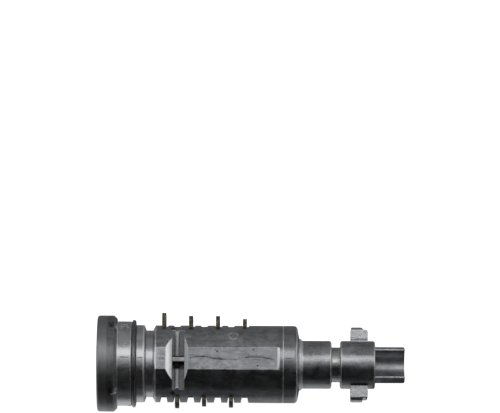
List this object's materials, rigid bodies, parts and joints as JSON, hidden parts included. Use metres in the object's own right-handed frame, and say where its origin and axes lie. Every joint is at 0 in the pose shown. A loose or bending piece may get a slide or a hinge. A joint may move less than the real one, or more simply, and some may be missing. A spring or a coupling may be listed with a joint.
{
  "type": "car door lock cylinder",
  "caption": "Cylindrical car door lock plug with a dark head, key slot with shutter, rubber seal, sprung brass wafers, a stepped tail with two drive lugs and an end stub.",
  "frame": {"origin": "middle of the head's front face, on the cylinder's axis", "axes": "+X along the axis from the head to the tail, +Z towards the side with the moulded flat and the cross cut, wafers slide along Y"},
  "size_m": [0.0636, 0.0206, 0.02],
  "materials": {
    "cast_zinc": "bright die-cast zinc, slightly worn",
    "cap_steel": "dark satin",
    "shutter_moulding": "matte black",
    "shutter_steel": "satin",
    "pin_steel": "ground",
    "spring_steel": "drawn wire",
    "seal_rubber": "matte black",
    "wafer_brass": "tarnished"
  },
  "bodies": {
    "plug": {"plug_body": "cast_zinc", "head_cap": "cap_steel", "shutter_frame": "shutter_moulding", "shutter_pin": "pin_steel", "shutter_spring": "spring_steel", "seal_ring": "seal_rubber", "wafer_spring_1": "spring_steel", "wafer_spring_2": "spring_steel", "wafer_spring_3": "spring_steel", "wafer_spring_4": "spring_steel", "wafer_spring_5": "spring_steel", "wafer_spring_6": "spring_steel", "wafer_spring_7": "spring_steel"},
    "shutter": {"shutter_flap": "shutter_steel"},
    "wafer_1": {"wafer_1": "wafer_brass"},
    "wafer_2": {"wafer_2": "wafer_brass"},
    "wafer_3": {"wafer_3": "wafer_brass"},
    "wafer_4": {"wafer_4": "wafer_brass"},
    "wafer_5": {"wafer_5": "wafer_brass"},
    "wafer_6": {"wafer_6": "wafer_brass"},
    "wafer_7": {"wafer_7": "wafer_brass"}
  },
  "joints": [
    {"name": "shutter_hinge", "type": "hinge", "parent": "plug", "child": "shutter", "pos_m": [0.00185, 0, 0.0026], "axis": [0, -1, 0], "range_deg": [0, 85], "stiffness_Nm_per_rad": 0.0006, "springref_deg": -34.38, "deforming": ["shutter_spring"]},
    {"name": "wafer_1_slide", "type": "slide", "parent": "plug", "child": "wafer_1", "axis": [0, -1, 0], "range_m": [0, 0.0029], "stiffness_N_per_m": 150, "springref_m": -0.0012, "deforming": ["wafer_spring_1"]},
    {"name": "wafer_2_slide", "type": "slide", "parent": "plug", "child": "wafer_2", "axis": [0, 1, 0], "range_m": [0, 0.0015], "stiffness_N_per_m": 150, "springref_m": -0.0012, "deforming": ["wafer_spring_2"]},
    {"name": "wafer_3_slide", "type": "slide", "parent": "plug", "child": "wafer_3", "axis": [0, -1, 0], "range_m": [0, 0.0023], "stiffness_N_per_m": 150, "springref_m": -0.0012, "deforming": ["wafer_spring_3"]},
    {"name": "wafer_4_slide", "type": "slide", "parent": "plug", "child": "wafer_4", "axis": [0, 1, 0], "range_m": [0, 0.0011], "stiffness_N_per_m": 150, "springref_m": -0.0012, "deforming": ["wafer_spring_4"]},
    {"name": "wafer_5_slide", "type": "slide", "parent": "plug", "child": "wafer_5", "axis": [0, -1, 0], "range_m": [0, 0.0023], "stiffness_N_per_m": 150, "springref_m": -0.0012, "deforming": ["wafer_spring_5"]},
    {"name": "wafer_6_slide", "type": "slide", "parent": "plug", "child": "wafer_6", "axis": [0, 1, 0], "range_m": [0, 0.0013], "stiffness_N_per_m": 150, "springref_m": -0.0012, "deforming": ["wafer_spring_6"]},
    {"name": "wafer_7_slide", "type": "slide", "parent": "plug", "child": "wafer_7", "axis": [0, -1, 0], "range_m": [0, 0.0017], "stiffness_N_per_m": 150, "springref_m": -0.0012, "deforming": ["wafer_spring_7"]}
  ]
}
